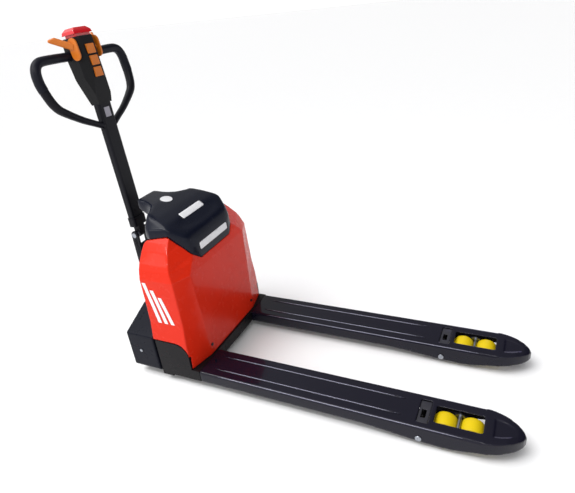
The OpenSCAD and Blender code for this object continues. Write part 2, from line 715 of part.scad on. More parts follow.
module return_springs() {
    color("#9a9da2") translate([x_pivot, 0, pivot_z]) both_sides() difference() {
        cross_pin(27, 17.5, yoke_half - yoke_cheek);
        cross_pin(tiller_pin_d + 1, 10, yoke_half);
    }
}

// ---- Tiller ----
module on_tiller() { translate([x_pivot, 0, pivot_z]) rotate([0, -tube_lean, 0]) children(); }
module on_head() {
    translate([x_pivot - (tube_len - 30) * sin(tube_lean), 0, pivot_z + (tube_len - 30) * cos(tube_lean)])
        rotate([0, -head_lean, 0]) children();
}
module rounded_bar(t, w, h, r) {
    linear_extrude(h) union() {
        square([t - 2 * r, w], center = true);
        square([t, w - 2 * r], center = true);
        for (i = [-1, 1], j = [-1, 1]) translate([i * (t / 2 - r), j * (w / 2 - r)]) circle(r = r);
    }
}
module tiller_tube() {
    color("#1d1d24") on_tiller() difference() {
        translate([0, 0, 42]) rounded_bar(tube_t, tube_w, tube_len - 42, 9);
        translate([0, 0, 41]) rounded_bar(tube_t - 6, tube_w - 6, tube_len, 6);
    }
}
module tiller_socket() {
    tongue = 16.5;
    color("#2e2e36") on_tiller() {
        difference() {
            union() {
                side_plate(-tongue, tongue) union() {
                    circle(d = yoke_t - 2);
                    translate([-15, 0]) square([30, 42]);
                }
                translate([0, 0, 34]) rounded_bar(tube_t - 2, 2 * (yoke_half - yoke_cheek) - 2, 8, 4);
                difference() {
                    translate([0, 0, 42]) rounded_bar(tube_t + 7, tube_w + 7, 32, 11);
                    translate([0, 0, 41]) rounded_bar(tube_t, tube_w, 40, 9);
                }
                // Floor that ties the sleeve to the tongue
                translate([0, 0, 36]) rounded_bar(tube_t + 7, tube_w + 7, 6, 11);
            }
            cross_pin(tiller_pin_d + 2 * run, -60, 60);
        }
    }
}

// Centre line of the right half of the loop, in head coordinates [out, up]
loop_points = [[31, -55], [100, -18], [168, 26], [200, 48], [213, 114], [loop_half, 140], [loop_half - 2, 172],
    [loop_half - 14, 194], [loop_half - 44, bar_s], [head_w / 2 - 5, bar_s]];
function loop_x(s) = bar_x * max(0, min(1, (s + 55) / 200));
// A smooth line through the points, and the tube around it
function loop_at(i) = let (p = loop_points[max(0, min(len(loop_points) - 1, i))]) [loop_x(p[1]), p[0], p[1]];
function smooth(a, b, c, d, t) = ((2 * b) + (c - a) * t + (2 * a - 5 * b + 4 * c - d) * t * t
    + (3 * b - a - 3 * c + d) * t * t * t) / 2;
function loop_line(first, last, n) = concat([for (i = [first : last - 1], k = [0 : n - 1])
    smooth(loop_at(i - 1), loop_at(i), loop_at(i + 1), loop_at(i + 2), k / n)], [loop_at(last)]);
module tube_along(line, d, sides = 14) {
    n = len(line);
    ring = [for (i = [0 : n - 1]) let (v = line[min(i + 1, n - 1)] - line[max(i - 1, 0)], t = v / norm(v),
        u = cross(t, [1, 0, 0]), a = u / norm(u), b = cross(t, a))
        for (k = [0 : sides - 1]) line[i] + d / 2 * (a * cos(360 * k / sides) + b * sin(360 * k / sides))];
    polyhedron(ring, concat([[for (k = [0 : sides - 1]) k]],
        [for (i = [0 : n - 2], k = [0 : sides - 1]) let (k2 = (k + 1) % sides)
            [i * sides + k, (i + 1) * sides + k, (i + 1) * sides + k2, i * sides + k2]],
        [[for (k = [sides - 1 : -1 : 0]) (n - 1) * sides + k]]));
}
module handle_loop() {
    color("#1b1b22") on_head() both_sides() tube_along(loop_line(0, 4, 4), loop_d);
}
module handle_grips() {
    color("#16161d") on_head() both_sides() tube_along(loop_line(4, len(loop_points) - 1, 4), grip_d);
}

// Control head: side view, front view and plan cut one block
module head_block(x0, x1) {
    ht = head_t / 2;
    hw = head_w / 2;
    intersection() {
        side_plate(-hw, hw) polygon([[-15, 0], [19, 0], [ht - 4, 118], [ht, 150], [ht - 3, head_len], [-ht + 6, head_len],
            [-ht, 190], [-ht + 8, 105]]);
        rotate([90, 0, 90]) translate([0, 0, -60]) linear_extrude(120)
            polygon([[-28, 0], [28, 0], [hw, 122], [hw, head_len - 14], [hw - 8, head_len], [-hw + 8, head_len],
                [-hw, head_len - 14], [-hw, 122]]);
        linear_extrude(head_len) polygon([[x0, -hw], [ht - 26, -hw], [x1, -27], [x1, 27], [ht - 26, hw], [x0, hw]]);
    }
}
module key_well(s) {
    w = key_w / 2 + 0.5;
    h = key_h / 2 + 0.5;
    front = head_front_x(s);
    slab([front - 9, -w, s - h], [front + 20, w, s + h]);
}
function head_front_x(s) = s < 118 ? 19 + (head_t / 2 - 23) * s / 118 : head_t / 2 - 4 + 4 * min(1, (s - 118) / 32);
key_s = [216, 176, 136];
module head_front() {
    color("#17171f") on_head() difference() {
        intersection() {
            head_block(0, head_t / 2);
            slab([0, -100, 24], [100, 100, 400]);
        }
        for (s = key_s) key_well(s);
        slab([-1, -37, head_len - 12], [head_t / 2 - 12, 37, head_len + 20]);
        translate([throttle_x, 0, throttle_s]) cross_pin(shaft_d + 2 * run, -80, 80);
    }
}
module head_rear() {
    color("#17171f") on_head() difference() {
        intersection() {
            head_block(-60, head_t / 2);
            slab([-100, -100, 24], [0, 100, 400]);
        }
        slab([-head_t / 2 + 14, -37, head_len - 12], [1, 37, head_len + 20]);
        both_sides() translate([bar_x, 0, bar_s]) cross_pin(grip_d + 2 * gap, head_w / 2 - 5 - gap, 80);
    }
}
module neck_plate() {
    color("#9a9ab0") on_tiller() slab([tube_t / 2, -14, tube_len - 56], [tube_t / 2 + 1.2, 14, tube_len - 20]);
}
module wing_knob(a, r, len, y) {
    translate([len * cos(a), y, len * sin(a)]) sphere(r = r, $fn = 16);
}
module throttle_wings() {
    out = head_w / 2 + gap;
    wing_angle = 142;
    color("#d9781c") on_head() translate([throttle_x, 0, throttle_s]) {
        cross_pin(shaft_d, -out - 1, out + 1);
        both_sides() {
            side_plate(out, out + disc_t) union() {
                for (e = [-1, 1]) translate([0, e * (disc_tall - disc_half)]) circle(r = disc_half);
                square([2 * disc_half, 2 * (disc_tall - disc_half)], center = true);
            }
            hull() {
                wing_knob(wing_angle, 6, 6, out + disc_t);
                wing_knob(wing_angle - 60, 5, 16, out + disc_t);
                wing_knob(wing_angle, 6, 68, out + 50);
                wing_knob(wing_angle - 12, 5, 60, out + 40);
            }
        }
    }
}
module belly_button() {
    ht = head_t / 2;
    top = head_len + belly_travel + 1;
    color("#e01432") on_head() {
        slab([-ht + 14.5, -36.5, head_len - 3], [ht - 12.5, 36.5, top]);
        hull() {
            translate([0, 0, top]) linear_extrude(0.01) square([head_t - 14, head_w - 10], center = true);
            translate([0, 0, top + 11]) linear_extrude(0.01) square([head_t - 18, head_w - 16], center = true);
            translate([0, 0, top + 22]) linear_extrude(0.01) square([head_t - 34, head_w - 42], center = true);
        }
    }
}
module key(i) {
    s = key_s[i];
    front = head_front_x(s);
    color("#c8601c") on_head() {
        slab([front - 9 + key_travel + 0.5, -key_w / 2, s - key_h / 2], [front + 4, key_w / 2, s + key_h / 2]);
    }
}
module lift_button() { key(0); }
module lower_button() { key(1); }
module horn_button() { key(2); }

tail_housing();
chassis_deck();
slew_ring();
cylinder_barrel();
pump_unit();
tail_bolts();
drive_housing();
drive_motor();
motor_brake();
tiller_yoke();
tiller_pin();
return_springs();
drive_tyre();
drive_hub();
tiller_tube();
tiller_socket();
handle_loop();
handle_grips();
head_front();
head_rear();
neck_plate();
throttle_wings();
belly_button();
lift_button();
lower_button();
horn_button();
fork_right();
fork_left();
fork_bridge();
lift_beam();
battery_pack();
controller();
rear_panel();
lower_cover();
top_cover();
cover_screws();
blank_badges();
side_stripes();
crown_disc();
cylinder_rod();
arm_pins();
rocker_shaft();
push_rod_right();
push_rod_left();
swing_arm_right();
swing_arm_left();
tandem_right();
tandem_left();
load_tyre_right_front();
load_tyre_right_rear();
load_tyre_left_front();
load_tyre_left_rear();
load_hub_right_front();
load_hub_right_rear();
load_hub_left_front();
load_hub_left_rear();
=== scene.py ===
"""Electric pallet truck: its surfaces, finishes and studio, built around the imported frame.

Metres throughout.  +X points to the fork tips, +Z is up and the floor is Z = 0.
"""
from __future__ import annotations

import json
import logging
import math
from dataclasses import dataclass, field
from enum import Enum

import bmesh
import bpy
from mathutils import Matrix, Vector
from mathutils.bvhtree import BVHTree

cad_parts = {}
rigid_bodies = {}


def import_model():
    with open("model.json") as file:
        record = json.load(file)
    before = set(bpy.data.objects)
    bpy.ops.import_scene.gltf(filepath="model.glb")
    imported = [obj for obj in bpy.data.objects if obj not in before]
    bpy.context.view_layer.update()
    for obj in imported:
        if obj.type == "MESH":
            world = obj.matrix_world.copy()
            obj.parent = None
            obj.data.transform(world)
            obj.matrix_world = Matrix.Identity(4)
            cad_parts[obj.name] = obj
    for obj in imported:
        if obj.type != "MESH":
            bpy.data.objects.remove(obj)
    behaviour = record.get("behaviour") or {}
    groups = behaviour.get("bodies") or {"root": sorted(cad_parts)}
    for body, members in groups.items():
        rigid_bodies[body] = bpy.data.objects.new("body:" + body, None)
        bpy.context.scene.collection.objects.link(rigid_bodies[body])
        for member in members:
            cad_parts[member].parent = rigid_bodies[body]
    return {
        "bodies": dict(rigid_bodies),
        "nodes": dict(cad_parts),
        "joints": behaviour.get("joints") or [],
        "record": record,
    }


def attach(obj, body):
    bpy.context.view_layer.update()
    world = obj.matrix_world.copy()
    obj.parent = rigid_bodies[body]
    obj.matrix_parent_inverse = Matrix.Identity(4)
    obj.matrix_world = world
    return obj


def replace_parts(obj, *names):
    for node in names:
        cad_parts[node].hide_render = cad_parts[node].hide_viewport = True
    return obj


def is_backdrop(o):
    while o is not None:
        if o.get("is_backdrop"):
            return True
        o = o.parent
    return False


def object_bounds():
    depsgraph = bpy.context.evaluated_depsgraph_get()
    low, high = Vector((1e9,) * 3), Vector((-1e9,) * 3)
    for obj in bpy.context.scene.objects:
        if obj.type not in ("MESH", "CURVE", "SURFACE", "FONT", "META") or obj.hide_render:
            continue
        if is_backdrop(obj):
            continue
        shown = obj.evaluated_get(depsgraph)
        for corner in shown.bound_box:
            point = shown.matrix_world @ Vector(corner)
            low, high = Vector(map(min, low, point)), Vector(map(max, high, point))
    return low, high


log = logging.getLogger("pallet_truck")


class Grain(Enum):
    """The kinds of fine surface texture; the value stretches the pattern along X, Y and Z."""

    EVEN = (1.0, 1.0, 1.0)
    TURNED = (1.0, 1.0, 14.0)


@dataclass(frozen=True)
class Finish:
    """One finish: two near colours, its gloss and its fine texture.

    Attributes:
        name: Name of the material.
        colour: Main colour, linear.
        shade: Colour of the faint patches.
        rough: Roughness in the middle of its range.
        spread: How far the roughness varies either way.
        metal: 1 for bare metal, 0 for paint and plastic.
        coat: Strength of the clear coat.
        coat_rough: Roughness of the clear coat.
        grain: Kind of fine texture.
        relief: Depth of the fine texture, in metres.
        grain_scale: Number of grains in a metre.
        dust: How much pale dust lies near the floor.
        shine: Strength of the mirror-like part of the reflection.
        slot: Slot of the frame that it belongs to; empty where the finish is named after its slot.
    """

    name: str
    colour: tuple[float, float, float]
    shade: tuple[float, float, float]
    rough: float = 0.45
    spread: float = 0.05
    metal: float = 0.0
    coat: float = 0.0
    coat_rough: float = 0.08
    grain: Grain = Grain.EVEN
    relief: float = 0.00006
    grain_scale: float = 900.0
    dust: float = 0.0
    shine: float = 0.4
    # slot: Slot of the frame that it belongs to; empty where the finish is named after its slot. Not used.
    slot: str = ""

    PATCHES = (9.0, 4.0)
    SMEARS = (34.0, 3.0)
    GRAIN_DETAIL = 2.0
    DUST_TOP = 0.12
    DUST_HIGH = 0.12
    DUST_PATCHES = (22.0, 6.0)
    DUST_COLOUR = (0.20, 0.19, 0.18, 1.0)

    def material(self) -> bpy.types.Material:
        """Builds the material, or gives the one already built.

        Returns:
            The material.
        """
        title = f"{self.name}_finish"
        made = bpy.data.materials.get(title)
        if made is not None:
            return made
        mat = bpy.data.materials.new(title)
        mat.use_nodes = True
        tree = mat.node_tree
        nodes, links = tree.nodes, tree.links
        nodes.clear()
        out = nodes.new("ShaderNodeOutputMaterial")
        skin = nodes.new("ShaderNodeBsdfPrincipled")
        links.new(skin.outputs["BSDF"], out.inputs["Surface"])
        skin.inputs["Metallic"].default_value = self.metal
        skin.inputs["Specular IOR Level"].default_value = self.shine
        skin.inputs["Coat Weight"].default_value = self.coat
        skin.inputs["Coat Roughness"].default_value = self.coat_rough
        place = nodes.new("ShaderNodeTexCoord")
        stretch = nodes.new("ShaderNodeMapping")
        stretch.inputs["Scale"].default_value = self.grain.value
        links.new(place.outputs["Object"], stretch.inputs["Vector"])

        cloud = self._noise(tree, stretch, *self.PATCHES)
        tint = nodes.new("ShaderNodeMix")
        tint.data_type = "RGBA"
        tint.inputs["A"].default_value = (*self.colour, 1.0)
        tint.inputs["B"].default_value = (*self.shade, 1.0)
        links.new(cloud.outputs["Fac"], tint.inputs["Factor"])
        colour = tint.outputs["Result"]
        if self.dust > 0:
            colour = self._dusted(tree, place, colour)
        links.new(colour, skin.inputs["Base Color"])

        smear = self._noise(tree, stretch, *self.SMEARS)
        gloss = nodes.new("ShaderNodeMapRange")
        gloss.inputs["From Min"].default_value = 0.3
        gloss.inputs["From Max"].default_value = 0.7
        gloss.inputs["To Min"].default_value = max(0.02, self.rough - self.spread)
        gloss.inputs["To Max"].default_value = min(1.0, self.rough + self.spread)
        links.new(smear.outputs["Fac"], gloss.inputs["Value"])
        links.new(gloss.outputs["Result"], skin.inputs["Roughness"])

        fine = self._noise(tree, stretch, self.grain_scale, self.GRAIN_DETAIL)
        bump = nodes.new("ShaderNodeBump")
        bump.inputs["Strength"].default_value = 0.5
        bump.inputs["Distance"].default_value = self.relief
        links.new(fine.outputs["Fac"], bump.inputs["Height"])
        links.new(bump.outputs["Normal"], skin.inputs["Normal"])
        return mat

    def _noise(self, tree: bpy.types.NodeTree, place: bpy.types.Node, scale: float,
               detail: float) -> bpy.types.Node:
        """Adds one noise pattern.

        Args:
            tree: Node tree of the material.
            place: Node that gives the coordinates.
            scale: Size of the pattern, in cells per metre.
            detail: Number of finer layers.

        Returns:
            The noise node.
        """
        noise = tree.nodes.new("ShaderNodeTexNoise")
        noise.inputs["Scale"].default_value = scale
        noise.inputs["Detail"].default_value = detail
        tree.links.new(place.outputs[0 if place.type == "MAPPING" else "Object"], noise.inputs["Vector"])
        return noise

    def _dusted(self, tree: bpy.types.NodeTree, place: bpy.types.Node,
                colour: bpy.types.NodeSocket) -> bpy.types.NodeSocket:
        """Lays faint dust over a colour, strongest near the floor.

        Args:
            tree: Node tree of the material.
            place: Texture coordinate node.
            colour: Socket with the clean colour.

        Returns:
            Socket with the dusted colour.
        """
        nodes, links = tree.nodes, tree.links
        split = nodes.new("ShaderNodeSeparateXYZ")
        links.new(place.outputs["Object"], split.inputs["Vector"])
        low = nodes.new("ShaderNodeMapRange")
        low.inputs["From Min"].default_value = 0.0
        low.inputs["From Max"].default_value = self.DUST_TOP
        low.inputs["To Min"].default_value = self.dust
        low.inputs["To Max"].default_value = self.dust * self.DUST_HIGH
        links.new(split.outputs["Z"], low.inputs["Value"])
        patch = self._noise(tree, place, *self.DUST_PATCHES)
        amount = nodes.new("ShaderNodeMath")
        amount.operation = "MULTIPLY"
        links.new(low.outputs["Result"], amount.inputs[0])
        links.new(patch.outputs["Fac"], amount.inputs[1])
        mix = nodes.new("ShaderNodeMix")
        mix.data_type = "RGBA"
        mix.inputs["B"].default_value = self.DUST_COLOUR
        links.new(amount.outputs["Value"], mix.inputs["Factor"])
        links.new(colour, mix.inputs["A"])
        return mix.outputs["Result"]


class Finishes:
    """Every finish on the truck."""

    FORK = Finish("fork_powder", (0.0040, 0.0038, 0.0100), (0.0056, 0.0050, 0.0135), 0.17, 0.03, coat=0.25,
                  coat_rough=0.06, dust=0.02, relief=0.00003, grain_scale=1300, shine=0.12,
                  slot="frame_paint")
    # Pale edge and rib lines: partly wear, partly a painted highlight standing in for light caught on the
    # rounded fork edges and ribs.
    WORN_HIGHLIGHT = Finish("worn_edge", (0.24, 0.24, 0.31), (0.12, 0.12, 0.17), 0.24, 0.05, metal=0.5, shine=0.4,
                  slot="frame_paint")
    BRACKET = Finish("bracket_grey", (0.020, 0.020, 0.027), (0.027, 0.026, 0.034), 0.34, 0.05,
                     slot="frame_paint")
    FRAME = Finish("frame_powder", (0.0055, 0.0050, 0.0060), (0.0085, 0.0075, 0.0090), 0.30, 0.06,
                   dust=0.03, shine=0.10)
    RED = Finish("cover_red", (0.66, 0.024, 0.007), (0.60, 0.020, 0.006), 0.26, 0.03, coat=0.12,
                 coat_rough=0.05, shine=0.10, relief=0.00002, grain_scale=260)
    NAVY = Finish("cover_black", (0.0042, 0.0055, 0.0130), (0.0058, 0.0075, 0.0165), 0.24, 0.04, coat=0.1,
                  coat_rough=0.10, relief=0.00003, grain_scale=800, shine=0.12)
    TAIL = Finish("tail_paint", (0.0050, 0.0058, 0.0110), (0.0070, 0.0080, 0.0145), 0.30, 0.05,
                  dust=0.02, shine=0.08)
    TILLER = Finish("tiller_paint", (0.0045, 0.0045, 0.0072), (0.0065, 0.0065, 0.0100), 0.36, 0.05,
                    shine=0.14)
    GRIP = Finish("grip_rubber", (0.0050, 0.0055, 0.0100), (0.0072, 0.0078, 0.0135), 0.40, 0.06,
                  relief=0.0001, grain_scale=1100, shine=0.14)
    HEAD = Finish("head_plastic", (0.0052, 0.0052, 0.0062), (0.0078, 0.0078, 0.0090), 0.40, 0.05,
                  relief=0.00008, grain_scale=1500, shine=0.14)
    AMBER = Finish("orange_plastic", (0.58, 0.155, 0.010), (0.50, 0.125, 0.008), 0.36, 0.04,
                   relief=0.00004, grain_scale=1200)
    CRIMSON = Finish("button_red", (0.62, 0.008, 0.016), (0.54, 0.006, 0.013), 0.20, 0.03, coat=0.8,
                     relief=0.00002, grain_scale=300)
    ZINC = Finish("zinc", (0.40, 0.42, 0.46), (0.30, 0.32, 0.36), 0.30, 0.08, metal=1.0, grain=Grain.TURNED,
                  relief=0.00004, grain_scale=700)
    CHROME = Finish("chromed_rod", (0.72, 0.73, 0.75), (0.66, 0.67, 0.70), 0.10, 0.03, metal=1.0,
                    grain=Grain.TURNED, relief=0.00001)
    YELLOW = Finish("wheel_yellow", (0.70, 0.52, 0.004), (0.64, 0.46, 0.003), 0.34, 0.06, shine=0.2,
                    relief=0.00006, grain_scale=500, dust=0.05)
    HUB = Finish("wheel_hub", (0.52, 0.52, 0.53), (0.40, 0.40, 0.42), 0.36, 0.08, metal=1.0,
                 grain=Grain.TURNED)
    DRIVE = Finish("drive_rubber", (0.020, 0.020, 0.021), (0.034, 0.033, 0.033), 0.68, 0.08,
                   relief=0.0002, grain_scale=700, dust=0.25)
    MACHINE = Finish("machine_grey", (0.13, 0.135, 0.14), (0.10, 0.105, 0.11), 0.50, 0.08,
                     relief=0.0003, grain_scale=420)
    BRAKE = Finish("brake_black", (0.014, 0.014, 0.015), (0.024, 0.024, 0.025), 0.50, 0.08,
                   relief=0.0002, grain_scale=500)
    CASE = Finish("battery_case", (0.045, 0.050, 0.060), (0.06, 0.064, 0.074), 0.55, 0.06)
    SINK = Finish("heatsink", (0.34, 0.35, 0.36), (0.28, 0.29, 0.30), 0.38, 0.08, metal=1.0)
    SCREW = Finish("screw_black", (0.015, 0.015, 0.016), (0.024, 0.024, 0.026), 0.34, 0.08, metal=0.6)
    WHITE = Finish("badge_white", (0.78, 0.78, 0.80), (0.72, 0.72, 0.75), 0.34, 0.04, coat=0.3,
                   relief=0.00001)
    PLATE = Finish("plate_grey", (0.30, 0.29, 0.33), (0.24, 0.23, 0.27), 0.36, 0.06, metal=0.4)


class Side(Enum):
    """The two sides of the truck; the value is the sign of Y."""

    RIGHT = -1
    LEFT = 1


class Look(Enum):
    """Directions that a flat outline is laid from."""

    ABOVE = "above"
    FRONT = "front"


class Workshop:
    """Dresses the frame's own pieces, and holds what every sub-assembly needs."""

    def __init__(self, frame: dict) -> None:
        """Keeps the frame.
        """
        self.nodes = frame["nodes"]

    def dress(self, names: list[str], finish: Finish, bevel: float = 0.0, segments: int = 3,
              angle: float = 32.0) -> None:
        """Gives frame pieces a finish and rounded edges.

        Args:
            names: Frame pieces.
            finish: Their finish.
            bevel: Width of the rounding; 0 leaves the edges sharp.
            segments: Number of steps across the rounding.
            angle: Edges sharper than this many degrees are rounded.
        """
        for name in names:
            piece = self.nodes[name]
            piece.data.materials.clear()
            piece.data.materials.append(finish.material())
            if "custom_normal" in piece.data.attributes:
                piece.data.attributes.remove(piece.data.attributes["custom_normal"])
            for face in piece.data.polygons:
                face.use_smooth = True
            weld = piece.modifiers.new("weld", "WELD")
            weld.merge_threshold = 0.00002
            if bevel > 0:
                edge = piece.modifiers.new("edge", "BEVEL")
                edge.width = bevel
                edge.segments = segments
                edge.limit_method = "ANGLE"
                edge.angle_limit = math.radians(angle)
                edge.miter_outer = "MITER_ARC"
                edge.harden_normals = False
            shade = piece.modifiers.new("shade", "WEIGHTED_NORMAL")
            shade.keep_sharp = True
            shade.weight = 50
            log.info("dressed %s with %s", name, finish.name)


@dataclass(frozen=True)
class SoftBox:
    """One soft light.

    Attributes:
        name: Name of the light.
        place: Where it hangs.
        aim: Place that it points to.
        size: Length of its two sides.
        power: Power, in watts.
        colour: Colour of the light.
        lengthwise: True where its first side runs along the truck.
    """

    name: str
    place: tuple[float, float, float]
    aim: tuple[float, float, float]
    size: tuple[float, float]
    power: float
    colour: tuple[float, float, float]
    lengthwise: bool = False

    def hang(self) -> None:
        """Puts the light in the scene."""
        lamp = bpy.data.lights.new(self.name, "AREA")
        lamp.shape = "RECTANGLE"
        lamp.size, lamp.size_y = self.size
        lamp.energy = self.power
        lamp.color = self.colour
        holder = bpy.data.objects.new(self.name, lamp)
        away = Vector(self.place) - Vector(self.aim)
        flat = Vector((1.0, 0.0, 0.0)) if self.lengthwise else Vector((0.0, 0.0, 1.0)).cross(away)
        across = (flat - away * flat.dot(away) / away.length_squared).normalized()
        over = away.normalized().cross(across)
        turn = Matrix((across, over, away.normalized())).transposed().to_4x4()
        holder.matrix_world = Matrix.Translation(self.place) @ turn
        bpy.context.scene.collection.objects.link(holder)


@dataclass
class Studio:
    """Pale floor, soft lights and the camera.

    Attributes:
        eye: Place of the camera.
        right: Direction to the right of the view.
        top: Direction to the top of the view.
        back: Direction from the truck to the camera.
        lens: Focal length, in millimetres.
        floor_half: Half of the floor's side.
        boxes: The soft lights.
    """

    eye: tuple[float, float, float] = (0.740, -1.445, 1.349)
    right: tuple[float, float, float] = (0.9025, 0.4171, -0.1069)
    top: tuple[float, float, float] = (-0.1036, 0.4514, 0.8863)
    back: tuple[float, float, float] = (0.4180, -0.7888, 0.4507)
    lens: float = 31.21
    floor_half: float = 40.0
    boxes: tuple[SoftBox, ...] = (
        SoftBox("box_left", (-2.4, -2.6, 1.9), (-0.4, 0.0, 0.4), (0.9, 0.9), 9.0, (1.0, 0.99, 0.97)),
        SoftBox("box_strip", (-0.30, -1.45, 2.35), (0.0, -0.2, 0.1), (3.4, 0.07), 22.0, (1.0, 1.0, 1.0),
                lengthwise=True),
        SoftBox("box_back", (0.6, 3.0, 1.2), (0.3, 0.0, 0.1), (0.7, 0.7), 3.0, (0.60, 0.56, 1.0)),
    )

    def build(self) -> None:
        """Builds the floor, the lights and the camera."""
        self.floor()
        self.lights()
        self.camera()
        log.info("studio built")

    def floor(self) -> None:
        """Lays the floor."""
        mesh = bpy.data.meshes.new("studio_floor")
        h = self.floor_half
        mesh.from_pydata([(-h, -h, 0), (h, -h, 0), (h, h, 0), (-h, h, 0)], [], [(0, 1, 2, 3)])
        floor = bpy.data.objects.new("studio_floor", mesh)
        bpy.context.scene.collection.objects.link(floor)
        sheet = Finish("studio_paper", (0.90, 0.90, 0.905), (0.88, 0.88, 0.885), 0.75, 0.02, relief=0.00001)
        mesh.materials.append(sheet.material())
        floor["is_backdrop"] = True

    def lights(self) -> None:
        """Hangs the soft boxes and the broad sky light, and sets the pale surroundings."""
        for box in self.boxes:
            box.hang()
        sun = bpy.data.lights.new("sky_light", "SUN")
        sun.energy = 1.65
        sun.angle = math.radians(38)
        holder = bpy.data.objects.new("sky_light", sun)
        holder.rotation_euler = Vector((0.42, 0.30, -1.0)).to_track_quat("-Z", "Y").to_euler()
        bpy.context.scene.collection.objects.link(holder)
        self.surroundings()

    def surroundings(self) -> None:
        """Makes the surroundings bright to the rear and near side and along the horizon."""
        world = bpy.data.worlds.new("surroundings")
        world.use_nodes = True
        nodes, links = world.node_tree.nodes, world.node_tree.links
        place = nodes.new("ShaderNodeTexCoord")
        toward = nodes.new("ShaderNodeVectorMath")
        toward.operation = "DOT_PRODUCT"
        toward.inputs[1].default_value = (-0.70, -0.60, 0.39)
        links.new(place.outputs["Generated"], toward.inputs[0])
        level = nodes.new("ShaderNodeMapRange")
        level.inputs["From Min"].default_value = -0.6
        level.inputs["From Max"].default_value = 0.7
        level.inputs["To Min"].default_value = 0.03
        level.inputs["To Max"].default_value = 1.0
        links.new(toward.outputs["Value"], level.inputs["Value"])
        split = nodes.new("ShaderNodeSeparateXYZ")
        links.new(place.outputs["Generated"], split.inputs["Vector"])
        band = nodes.new("ShaderNodeMapRange")
        band.inputs["From Min"].default_value = 0.12
        band.inputs["From Max"].default_value = 0.24
        band.inputs["To Min"].default_value = 1.1
        band.inputs["To Max"].default_value = 0.0
        links.new(split.outputs["Z"], band.inputs["Value"])
        most = nodes.new("ShaderNodeMath")
        most.operation = "MAXIMUM"
        links.new(level.outputs["Result"], most.inputs[0])
        links.new(band.outputs["Result"], most.inputs[1])
        links.new(most.outputs["Value"], nodes["Background"].inputs["Strength"])
        nodes["Background"].inputs["Color"].default_value = (1.0, 1.0, 1.0, 1.0)
        bpy.context.scene.world = world

    def camera(self) -> None:
        """Sets the camera."""
        lens = bpy.data.cameras.new("camera")
        lens.sensor_width = 36.0
        lens.lens = self.lens
        lens.clip_start = 0.02
        holder = bpy.data.objects.new("camera", lens)
        turn = Matrix((self.right, self.top, self.back)).transposed().to_4x4()
        holder.matrix_world = Matrix.Translation(self.eye) @ turn
        bpy.context.scene.collection.objects.link(holder)
        bpy.context.scene.camera = holder
        bpy.context.scene.view_settings.view_transform = "Standard"


class Shapes:
    """Makes meshes and puts them in the scene."""

    @staticmethod
    def place(name: str, mesh: bmesh.types.BMesh, finish: Finish, body: str) -> bpy.types.Object:
        """Turns a mesh under work into a piece that rides on a body.

        Args:
            name: Name of the piece.
            mesh: The mesh under work; it is freed.
            finish: Its finish.
            body: Body that the piece rides on.

        Returns:
            The new piece.
        """
        bmesh.ops.recalc_face_normals(mesh, faces=mesh.faces)
        data = bpy.data.meshes.new(name)
        mesh.to_mesh(data)
        mesh.free()
        for face in data.polygons:
            face.use_smooth = True
        data.materials.append(finish.material())
        piece = bpy.data.objects.new(name, data)
        bpy.context.scene.collection.objects.link(piece)
        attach(piece, body)
        log.info("made %s", name)
        return piece

    @staticmethod
    def smooth_path(points: list[Vector], steps: int) -> list[Vector]:
        """Runs a smooth line through points.

        Args:
            points: The points.
            steps: Number of steps between two points.

        Returns:
            The finer line.
        """
        line = []
        last = len(points) - 1
        for i in range(last):
            a, b, c, d = (points[max(0, min(last, i + k))] for k in (-1, 0, 1, 2))
            for j in range(steps):
                t = j / steps
                line.append(0.5 * (2 * b + (c - a) * t + (2 * a - 5 * b + 4 * c - d) * t * t
                                   + (3 * b - a - 3 * c + d) * t * t * t))
        line.append(points[last].copy())
        return line

    @staticmethod
    def sweep(mesh: bmesh.types.BMesh, line: list[Vector], wide: list[float], tall: list[float], side: Vector,
              sides: int = 28) -> None:
        """Draws an oval tube along a line.

        Args:
            mesh: Mesh to add to.
            line: Centre line.
            wide: Half width at each point, along the side direction.
            tall: Half height at each point.
            side: Direction that the width is measured along at the start.
            sides: Number of points around.
        """
        rings = []
        across = side.normalized()
        for i, at in enumerate(line):
            ahead = (line[min(i + 1, len(line) - 1)] - line[max(i - 1, 0)]).normalized()
            across = (across - ahead * across.dot(ahead)).normalized()
            over = ahead.cross(across)
            ring = []
            for k in range(sides):
                a = 2 * math.pi * k / sides
                out = across * (wide[i] * math.cos(a)) + over * (tall[i] * math.sin(a))
                ring.append(mesh.verts.new(at + out))
            rings.append(ring)
        for low, high in zip(rings, rings[1:]):
            for k in range(sides):
                n = (k + 1) % sides
                mesh.faces.new((low[k], low[n], high[n], high[k]))
        mesh.faces.new(tuple(reversed(rings[0])))
        mesh.faces.new(tuple(rings[-1]))

    @staticmethod
    def lathe(mesh: bmesh.types.BMesh, centre: Vector, axis: Vector, profile: list[tuple[float, float]],
              sides: int = 48) -> None:
        """Turns a profile around an axis.

        Args:
            mesh: Mesh to add to.
            centre: Place that the profile is measured from.
            axis: Direction of the axis.
            profile: Radius and place along the axis of each point.
            sides: Number of points around.
        """
        along = axis.normalized()
        across = along.orthogonal().normalized()
        over = along.cross(across)
        rings = []
        for radius, shift in profile:
            at = centre + along * shift
            if radius <= 0.0:
                rings.append([mesh.verts.new(at)])
                continue
            ring = []
            for k in range(sides):
                a = 2 * math.pi * k / sides
                out = across * (radius * math.cos(a)) + over * (radius * math.sin(a))
                ring.append(mesh.verts.new(at + out))
            rings.append(ring)
        for low, high in zip(rings, rings[1:]):
            for k in range(sides):
                n = (k + 1) % sides
                if len(low) == 1:
                    mesh.faces.new((low[0], high[n], high[k]))
                elif len(high) == 1:
                    mesh.faces.new((low[k], low[n], high[0]))
                else:
                    mesh.faces.new((low[k], low[n], high[n], high[k]))
        if profile[0][0] > 0.0:
            for k in range(sides):
                n = (k + 1) % sides
                mesh.faces.new((rings[-1][k], rings[-1][n], rings[0][n], rings[0][k]))


